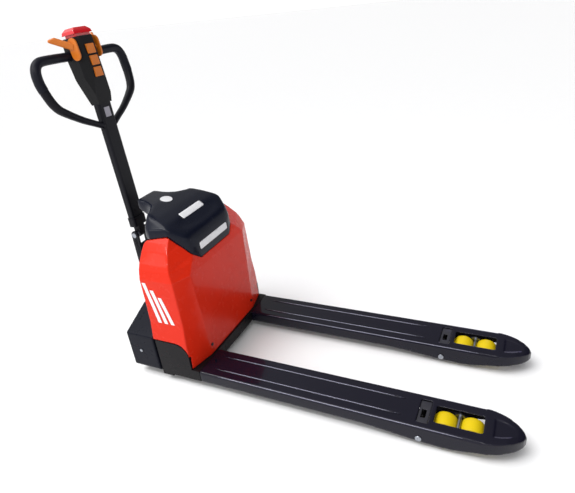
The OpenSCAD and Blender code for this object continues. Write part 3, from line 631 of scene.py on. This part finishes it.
@dataclass
class HeadFrame:
    """Directions of the control head, which leans back from the tube.

    Attributes:
        start: Where the head's own measure starts, in metres.
        lean: Lean of the head, in degrees.
    """

    start: Vector = field(default_factory=lambda: Vector((-0.74246, 0.0, 1.02951)))
    lean: float = 6.5

    def at(self, out: float, side: float, up: float) -> Vector:
        """Gives a place on the head.

        Args:
            out: Distance to the front, in millimetres.
            side: Distance to the left, in millimetres.
            up: Distance up along the head, in millimetres.

        Returns:
            The place, in metres.
        """
        turn = math.radians(self.lean)
        ahead = Vector((math.cos(turn), 0.0, math.sin(turn)))
        along = Vector((-math.sin(turn), 0.0, math.cos(turn)))
        return self.start + (ahead * out + Vector((0.0, side, 0.0)) + along * up) * 0.001


@dataclass
class LoopHandle:
    """The loop handle: two tapering arms and a soft grip around each end.

    Attributes:
        arm: Half of the loop's lower arm: distance to the side and up the head, and radius, in millimetres.
        grip: The same for the grip, from the seam up and in to the head.
    """

    head: HeadFrame
    arm: tuple = (
        (31, -55, 12.5), (62, -38, 12.8), (104, -16, 13.5), (140, 7, 14.5), (168, 27, 15.6),
        (188, 44, 16.4), (201, 66, 17.0), (208, 90, 17.2), (213, 116, 17.2), (215, 124, 13.0),
    )
    grip: tuple = (
        (212.6, 113, 17.8), (213.2, 117, 18.4), (215, 140, 18.4), (213, 170, 18.2), (203, 192, 18.0),
        (186, 203, 17.6), (165, 206, 17.4), (120, 206, 17.2), (80, 205, 17.0), (49, 205, 16.8),
    )

    def place_of(self, side: int, out: float, up: float) -> Vector:
        """Gives a place on the loop's centre line.

        Args:
            side: Sign of Y.
            out: Distance from the middle, in millimetres.
            up: Distance up the head, in millimetres.

        Returns:
            The place, in metres.
        """
        share = min(1.0, max(0.0, (up + 55) / 200))
        return self.head.at(-24 * share, side * out, up)

    def build(self) -> None:
        """Builds the arms and the grips."""
        self.run("loop_arm", self.arm, Finishes.TILLER, "handle_loop")
        self.run("soft_grip", self.grip, Finishes.GRIP, "handle_grips")

    def run(self, name: str, points: tuple, finish: Finish, stands_for: str) -> None:
        """Builds one tube on each side.

        Args:
            name: Name of the pieces.
            points: Their line.
            finish: Their finish.
            stands_for: Frame piece that they stand for.
        """
        pieces = []
        for side in Side:
            mesh = bmesh.new()
            line = Shapes.smooth_path([self.place_of(side.value, out, up) for out, up, _ in points], 6)
            sizes = Shapes.smooth_path([Vector((radius, 0, 0)) for _, _, radius in points], 6)
            radii = [size.x * 0.001 for size in sizes]
            Shapes.sweep(mesh, line, radii, [r * 0.93 for r in radii], Vector((1, 0, 0)))
            pieces.append(Shapes.place(f"{name}_{side.name.lower()}", mesh, finish, "tiller"))
        for piece in pieces:
            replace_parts(piece, stands_for)


@dataclass
class Covers:
    """Moulded covers and the tail, with the soft corners of moulded sheet.

    Attributes:
        shop: Workshop that dresses the frame's pieces.
        cell: Size of the surface cells that the soft corners are made from.
        kept: Share of the cells that stay.
    """

    shop: Workshop
    cell: float = 0.0024
    kept: float = 0.35

    def build(self) -> None:
        """Softens the covers, the tail and the forks."""
        self.soften("lower_cover", Finishes.RED, 7)
        self.soften("tail_housing", Finishes.TAIL, 12)
        self.soften("fork_right", Finishes.FORK, 8)
        self.soften("fork_left", Finishes.FORK, 8)

    def soften(self, name: str, finish: Finish, passes: int) -> None:
        """Rounds every corner of a frame piece a little.

        Args:
            name: Frame piece.
            finish: Its finish.
            passes: Number of softening steps.
        """
        piece = self.shop.nodes[name]
        self.shop.dress([name], finish)
        piece.modifiers.remove(piece.modifiers["shade"])
        cells = piece.modifiers.new("cells", "REMESH")
        cells.mode = "VOXEL"
        cells.voxel_size = self.cell
        cells.use_smooth_shade = True
        soft = piece.modifiers.new("soft", "SMOOTH")
        soft.factor = 0.5
        soft.iterations = passes
        thin = piece.modifiers.new("thin", "DECIMATE")
        thin.ratio = self.kept
        log.info("softened %s", name)


@dataclass
class TopCover:
    """The black cover as one smoothly moulded shell, with its badges laid on it.

    Attributes:
        shop: Workshop that holds the frame's pieces.
        cell: Size of its surface cells.
        held: Distance from the red cover within which its shape is held.
        free: Distance from the red cover past which it may round off fully.
        passes: Number of softening steps.
        tag_rise: Height of the badges above the shell.
        tag_corner: Rounding of the badges' corners.
        tag_steps: Number of steps along the two sides of a badge.
        disc_steps: Number of steps across the disc.
        disc_end: Part of a step that is left out at the disc's two ends.
    """

    shop: Workshop
    cell: float = 0.003
    held: float = 0.006
    free: float = 0.040
    passes: int = 140
    tag_rise: float = 0.0006
    tag_corner: float = 0.004
    tag_steps: tuple[int, int] = (8, 24)
    disc_steps: int = 14
    disc_end: float = 0.35

    def build(self) -> None:
        """Builds the shell and its badges."""
        shell = self.shell()
        skin = BVHTree.FromObject(shell, bpy.context.evaluated_depsgraph_get())
        badges = [self.tag("badge_upper", skin, Look.ABOVE, (-0.439, -0.070), (-0.416, 0.070)),
                  self.tag("badge_front", skin, Look.FRONT, (0.523, -0.096), (0.551, 0.096))]
        for badge in badges:
            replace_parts(badge, "blank_badges")
        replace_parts(self.disc("crown_dot", skin, (-0.539, -0.002), 0.024), "crown_disc")

    def shell(self) -> bpy.types.Object:
        """Builds the shell.

        Returns:
            The shell.
        """
        source = self.shop.nodes["top_cover"]
        rough = bpy.data.objects.new("rough_cover", source.data.copy())
        rough.matrix_world = source.matrix_world
        bpy.context.scene.collection.objects.link(rough)
        cells = rough.modifiers.new("cells", "REMESH")
        cells.mode = "VOXEL"
        cells.voxel_size = self.cell
        graph = bpy.context.evaluated_depsgraph_get()
        data = bpy.data.meshes.new_from_object(rough.evaluated_get(graph))
        data.transform(source.matrix_world)
        below = BVHTree.FromObject(self.shop.nodes["lower_cover"], graph)
        bpy.data.objects.remove(rough)
        mesh = bmesh.new()
        mesh.from_mesh(data)
        shell = Shapes.place("moulded_cover", mesh, Finishes.NAVY, "fork_frame")
        group = shell.vertex_groups.new(name="free")
        for vertex in shell.data.vertices:
            near = below.find_nearest(vertex.co, self.free)
            gap = near[3] if near[3] is not None else self.free
            share = min(1.0, max(0.0, (gap - self.held) / (self.free - self.held)))
            group.add([vertex.index], share, "REPLACE")
        soft = shell.modifiers.new("soft", "SMOOTH")
        soft.factor = 0.5
        soft.iterations = self.passes
        soft.vertex_group = "free"
        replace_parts(shell, "top_cover")
        return shell

    def laid(self, skin: BVHTree, look: Look, far: float, y: float, rise: float) -> Vector:
        """Finds the place just above the shell, as seen from one direction.

        Args:
            skin: Surface of the shell.
            look: Direction that it is seen from.
            far: X when seen from above, Z when seen from the front.
            y: Place across the truck.
            rise: Height above the shell.

        Returns:
            The place.
        """
        if look is Look.ABOVE:
            at, normal, _, _ = skin.ray_cast(Vector((far, y, 1.0)), Vector((0.0, 0.0, -1.0)))
        else:
            at, normal, _, _ = skin.ray_cast(Vector((0.0, y, far)), Vector((-1.0, 0.0, 0.0)))
        return at + normal * rise

    def sheet(self, name: str, skin: BVHTree, look: Look,
              rows: list[list[tuple[float, float]]]) -> bpy.types.Object:
        """Lays a thin sheet on the shell.

        Args:
            name: Name of the sheet.
            skin: Surface of the shell.
            look: Direction that its outline is seen from.
            rows: Points of the outline, row by row.

        Returns:
            The sheet.
        """
        mesh = bmesh.new()
        layers = [[[mesh.verts.new(self.laid(skin, look, far, y, rise)) for far, y in row] for row in rows]
                  for rise in (self.tag_rise, -self.tag_rise)]
        for layer in layers:
            for low, high in zip(layer, layer[1:]):
                for k in range(len(low) - 1):
                    mesh.faces.new((low[k], low[k + 1], high[k + 1], high[k]))
        top, under = (self.rim(layer) for layer in layers)
        for k in range(len(top)):
            n = (k + 1) % len(top)
            mesh.faces.new((top[k], top[n], under[n], under[k]))
        return Shapes.place(name, mesh, Finishes.WHITE, "fork_frame")

    @staticmethod
    def rim(rows: list[list[bmesh.types.BMVert]]) -> list[bmesh.types.BMVert]:
        """Walks around the outside of a grid.

        Args:
            rows: The grid, row by row.

        Returns:
            The points of its rim, in order.
        """
        left = [row[0] for row in rows]
        right = [row[-1] for row in reversed(rows)]
        return left + rows[-1][1:] + right[1:] + rows[0][-2:0:-1]

    def tag(self, name: str, skin: BVHTree, look: Look, low: tuple[float, float],
            high: tuple[float, float]) -> bpy.types.Object:
        """Lays a badge with rounded corners.

        Args:
            name: Name of the badge.
            skin: Surface of the shell.
            look: Direction that its outline is seen from.
            low: Its lowest corner.
            high: Its highest corner.

        Returns:
            The badge.
        """
        rows = []
        deep, wide = self.tag_steps
        corner = self.tag_corner
        for i in range(deep + 1):
            far = low[0] + (high[0] - low[0]) * i / deep
            edge = min(far - low[0], high[0] - far)
            pull = corner - math.sqrt(max(0.0, corner ** 2 - (corner - edge) ** 2)) if edge < corner else 0.0
            step = (high[1] - low[1] - 2 * pull) / wide
            rows.append([(far, low[1] + pull + step * k) for k in range(wide + 1)])
        return self.sheet(name, skin, look, rows)

    def disc(self, name: str, skin: BVHTree, middle: tuple[float, float], radius: float) -> bpy.types.Object:
        """Lays a round badge.

        Args:
            name: Name of the badge.
            skin: Surface of the shell.
            middle: Its middle, in plan.
            radius: Its radius.

        Returns:
            The badge.
        """
        rows = []
        steps = self.disc_steps
        short = self.disc_end
        for i in range(steps + 1):
            x = -math.cos(math.pi * (i + short) / (steps + 2 * short)) * radius
            half = math.sqrt(radius ** 2 - x ** 2)
            rows.append([(middle[0] + x, middle[1] - half + 2 * half * k / steps) for k in range(steps + 1)])
        return self.sheet(name, skin, Look.ABOVE, rows)


@dataclass
class ForkTrim:
    """What is pressed into or set in the forks: ribs, pale lines of wear with a painted highlight, plates in
    the windows and pin caps.

    Attributes:
        tip: X of the fork tips.
        top: Height of the forks' top.
        middle: Distance of a fork's middle from the truck's middle.
        rib_out: Distance of a rib from the fork's middle.
        rib_half: Half width of a rib.
        rib_tall: Half height of a rib.
        rib_end: Share of its size that a rib has at its two ends.
        worn_highlight_half: Half thickness of the bright line on a rib.
        edge_half: Half thickness of the bright line on a top edge.
        edge_out: Distance of a bright edge line from the fork's middle.
        edge_down: Depth of a bright edge line below the fork's top.
        window: Distances from the tip to the two ends of a window's plate.
        plate_half: Half width of a window's plate.
        plate_top: Depth of the plate below the fork's top.
        plate_thick: Thickness of the plate.
        slot_x: Distances of its slot from the plate's two ends.
        slot_y: Where the slot starts and ends across the plate.
        pin: Distance from the tip to the swing arm's pin, and the pin's height.
        pin_out: Distance of a pin cap from the fork's middle.
        cap: Profile of a turned pin cap: radius and place along the pin.
    """

    tip: float = 0.825
    top: float = 0.085
    middle: float = 0.210
    rib_out: float = 0.037
    rib_half: float = 0.0042
    rib_tall: float = 0.0026
    rib_end: float = 0.1414
    worn_highlight_half: float = 0.0013
    edge_half: float = 0.0014
    edge_out: float = 0.0718
    edge_down: float = 0.0032
    window: tuple[float, float] = (0.3245, 0.2895)
    plate_half: float = 0.0495
    plate_top: float = 0.0040
    plate_thick: float = 0.0050
    slot_x: tuple[float, float] = (0.008, 0.011)
    slot_y: tuple[float, float] = (-0.026, 0.012)
    pin: tuple[float, float] = (0.312, 0.036)
    pin_out: float = 0.0775
    cap: tuple = (
        (0.0, 0.0004), (0.0036, 0.0004), (0.0040, 0.0014), (0.0062, 0.0016),
        (0.0068, 0.0008), (0.0088, 0.0010), (0.0100, 0.0004), (0.0104, -0.0022),
    )

    def build(self) -> None:
        """Builds the trim of both forks."""
        for side in Side:
            y = side.value * self.middle
            tag = side.name.lower()
            self.ribs(tag, y)
            self.worn_highlight_ribs(tag, y)
            self.worn_highlight_edges(tag, y)
            self.window_plate(tag, y)
            self.pin_caps(tag, y)

    def along(self, back: float, length: float, steps: int, y: float, z: float) -> list[Vector]:
        """Gives a straight line along the fork.

        Args:
            back: Distance from the tip to its rear end.
            length: Its length.
            steps: Number of steps.
            y: Place across the truck.
            z: Height.

        Returns:
            The points of the line.
        """
        return [Vector((self.tip - back + length * i / steps, y, z)) for i in range(steps + 1)]

    @staticmethod
    def tapered(half: float, steps: int, fade: int) -> list[float]:
        """Gives the sizes of a line that thins out at both ends.

        Args:
            half: Size in its middle.
            steps: Number of steps.
            fade: Number of steps over which it thins out.

        Returns:
            The size at each point.
        """
        start = 0.06
        near = [min(i, steps - i) for i in range(steps + 1)]
        return [half * math.sin(math.pi * min(1.0, (start + k) / fade) / 2) for k in near]

    def ribs(self, tag: str, y: float) -> None:
        """Builds the two pressed ribs.

        Args:
            tag: Name of the side.
            y: Middle of the fork.
        """
        mesh = bmesh.new()
        steps = 26
        share = [self.rib_end] + [1.0] * (steps - 1) + [self.rib_end]
        wide = [self.rib_half * part for part in share]
        tall = [self.rib_tall * part for part in share]
        for out in (-self.rib_out, self.rib_out):
            line = self.along(1.101, 0.727, steps, y + out, self.top - 0.0008)
            Shapes.sweep(mesh, line, wide, tall, Vector((0, 1, 0)), 20)
        Shapes.place(f"pressed_ribs_{tag}", mesh, Finishes.FORK, "fork_frame")

    def worn_highlight_ribs(self, tag: str, y: float) -> None:
        """Builds the pale line on each rib: partly wear, partly a painted highlight.

        Args:
            tag: Name of the side.
            y: Middle of the fork.
        """
        mesh = bmesh.new()
        steps = 40
        size = self.tapered(self.worn_highlight_half, steps, 6)
        for out in (-self.rib_out, self.rib_out):
            line = self.along(1.098, 0.721, steps, y + out - 0.0012, self.top + 0.0010)
            Shapes.sweep(mesh, line, size, size, Vector((0, 1, 0)), 12)
        Shapes.place(f"worn_ribs_{tag}", mesh, Finishes.WORN_HIGHLIGHT, "fork_frame")

    def worn_highlight_edges(self, tag: str, y: float) -> None:
        """Builds the pale lines along both top edges: partly wear, partly a painted highlight.

        Args:
            tag: Name of the side.
            y: Middle of the fork.
        """
        mesh = bmesh.new()
        steps = 60
        size = self.tapered(self.edge_half, steps, 8)
        for out in (-self.edge_out, self.edge_out):
            line = self.along(1.125, 1.005, steps, y + out, self.top - self.edge_down)
            Shapes.sweep(mesh, line, size, size, Vector((0, 1, 0)), 12)
        Shapes.place(f"worn_edges_{tag}", mesh, Finishes.WORN_HIGHLIGHT, "fork_frame")

    def window_plate(self, tag: str, y: float) -> None:
        """Builds the slotted plate that shows in the window behind the wheels.

        Args:
            tag: Name of the side.
            y: Middle of the fork.
        """
        mesh = bmesh.new()
        x0, x1 = (self.tip - back for back in self.window)
        s0, s1 = x0 + self.slot_x[0], x1 - self.slot_x[1]
        half = self.plate_half
        low, high = self.slot_y
        outer = [(x0, -half), (x1, -half), (x1, half), (x0, half)]
        inner = [(s0, low), (s1, low), (s1, high), (s0, high)]
        z_top = self.top - self.plate_top
        rings = []
        for z in (z_top - self.plate_thick, z_top):
            for ring in (outer, inner):
                rings.append([mesh.verts.new((x, y + w, z)) for x, w in ring])
        under_out, under_in, top_out, top_in = rings
        for k in range(4):
            n = (k + 1) % 4
            mesh.faces.new((under_out[k], under_out[n], top_out[n], top_out[k]))
            mesh.faces.new((under_in[k], top_in[k], top_in[n], under_in[n]))
            mesh.faces.new((top_out[k], top_out[n], top_in[n], top_in[k]))
            mesh.faces.new((under_out[k], under_in[k], under_in[n], under_out[n]))
        bmesh.ops.bevel(mesh, geom=mesh.edges[:], offset=0.0009, segments=2, affect="EDGES", profile=0.5)
        Shapes.place(f"window_plate_{tag}", mesh, Finishes.BRACKET, "fork_frame")

    def pin_caps(self, tag: str, y: float) -> None:
        """Builds the turned faces of the swing arm's pins.

        Args:
            tag: Name of the side.
            y: Middle of the fork.
        """
        mesh = bmesh.new()
        back, height = self.pin
        for face in (-1, 1):
            centre = Vector((self.tip - back, y + face * self.pin_out, height))
            Shapes.lathe(mesh, centre, Vector((0, face, 0)), self.cap, 36)
        Shapes.place(f"pin_caps_{tag}", mesh, Finishes.ZINC, "fork_frame")


@dataclass
class LoadWheels:
    """Crowned rollers under the forks.

    Attributes:
        centre: Middle of the tandem, along X.
        middle: Distance of a fork's middle from the truck's middle.
        half_pitch: Half of the distance between its two rollers.
        radius: Radius at the crown.
        crown: How much smaller the radius is at the tread's edge.
        tread: Half width of the tread.
        shoulder: Radius and half width of each point from the bore to the tread.
    """

    centre: float = 0.627
    middle: float = 0.210
    half_pitch: float = 0.042
    radius: float = 0.040
    crown: float = 0.0022
    tread: float = 0.0265
    shoulder: tuple = ((0.0238, 0.0280), (0.0320, 0.0289), (0.0350, 0.0286), (0.0368, 0.0278))

    def profile(self) -> list[tuple[float, float]]:
        """Gives the profile of a tyre.

        Returns:
            Radius and place along the axle of each point.
        """
        steps = 6
        shares = [i / steps - 1 for i in range(2 * steps + 1)]
        tread = [(self.radius - self.crown * abs(share) ** 2.2, self.tread * share) for share in shares]
        near = [(radius, -half) for radius, half in self.shoulder]
        return near + tread + list(reversed(self.shoulder))

    def build(self) -> None:
        """Builds the four crowned tyres."""
        for side in Side:
            for end, sign in (("front", 1), ("rear", -1)):
                tag = f"{side.name.lower()}_{end}"
                axle = Vector((self.centre + sign * self.half_pitch, side.value * self.middle, self.radius))
                mesh = bmesh.new()
                Shapes.lathe(mesh, axle, Vector((0, 1, 0)), self.profile(), 72)
                tyre = Shapes.place(f"crowned_tyre_{tag}", mesh, Finishes.YELLOW, f"load_wheel_{tag}")
                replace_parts(tyre, f"load_tyre_{tag}")


class Truck:
    """The whole truck, dressed one sub-assembly after another."""

    def __init__(self, shop: Workshop) -> None:
        """Keeps the workshop.

        Args:
            shop: Workshop that dresses the frame's pieces.
        """
        self.shop = shop

    def dress(self) -> None:
        """Dresses every frame piece."""
        dress = self.shop.dress
        wheels = [f"{side}_{end}" for side in ("right", "left") for end in ("front", "rear")]
        dress(["fork_bridge"], Finishes.FRAME, 0.003)
        dress(["lift_beam", "rear_panel", "rocker_shaft", "chassis_deck"], Finishes.FRAME, 0.0015, 2)
        arms = [f"{part}_{side}" for part in ("push_rod", "swing_arm") for side in ("right", "left")]
        dress(arms, Finishes.FRAME, 0.001, 2)
        Covers(self.shop).build()
        TopCover(self.shop).build()
        dress(["drive_housing", "drive_motor", "pump_unit"], Finishes.MACHINE, 0.002, 2)
        dress(["motor_brake"], Finishes.BRAKE, 0.0015, 2)
        dress(["tiller_yoke", "tiller_tube", "tiller_socket"], Finishes.TILLER, 0.002, 3)
        LoopHandle(HeadFrame()).build()
        dress(["head_front", "head_rear"], Finishes.HEAD, 0.0025)
        dress(["throttle_wings", "lift_button", "lower_button", "horn_button"], Finishes.AMBER, 0.0012)
        dress(["belly_button"], Finishes.CRIMSON, 0.003)
        dress(["neck_plate"], Finishes.PLATE, 0.0004, 2)
        fasteners = ["tail_bolts", "arm_pins", "tiller_pin", "slew_ring", "return_springs"]
        dress(fasteners, Finishes.ZINC, 0.0006, 2)
        dress(["tandem_right", "tandem_left", "cylinder_barrel"], Finishes.ZINC, 0.0008, 2)
        dress(["cylinder_rod"], Finishes.CHROME, 0.0005, 2)
        LoadWheels().build()
        ForkTrim().build()
        dress([f"load_hub_{w}" for w in wheels] + ["drive_hub"], Finishes.HUB, 0.0008, 2)
        dress(["drive_tyre"], Finishes.DRIVE, 0.003)
        dress(["battery_pack"], Finishes.CASE, 0.003)
        dress(["controller"], Finishes.SINK, 0.0005, 2)
        dress(["cover_screws"], Finishes.SCREW, 0.0006, 2)
        dress(["side_stripes"], Finishes.WHITE, 0.0003, 2)


def as_list(box: object) -> object:
    """Turns a box into plain nested lists.

    Args:
        box: Nested vectors or numbers.

    Returns:
        The same as lists of floats.
    """
    if isinstance(box, (int, float)):
        return float(box)
    return [as_list(part) for part in box]


def main() -> None:
    """Builds the whole scene."""
    logging.basicConfig(level=logging.INFO, format="%(name)s: %(message)s")
    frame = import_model()
    before = as_list(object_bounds())
    Truck(Workshop(frame)).dress()
    Studio().build()
    after = as_list(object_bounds())


if __name__ == "__main__":
    main()
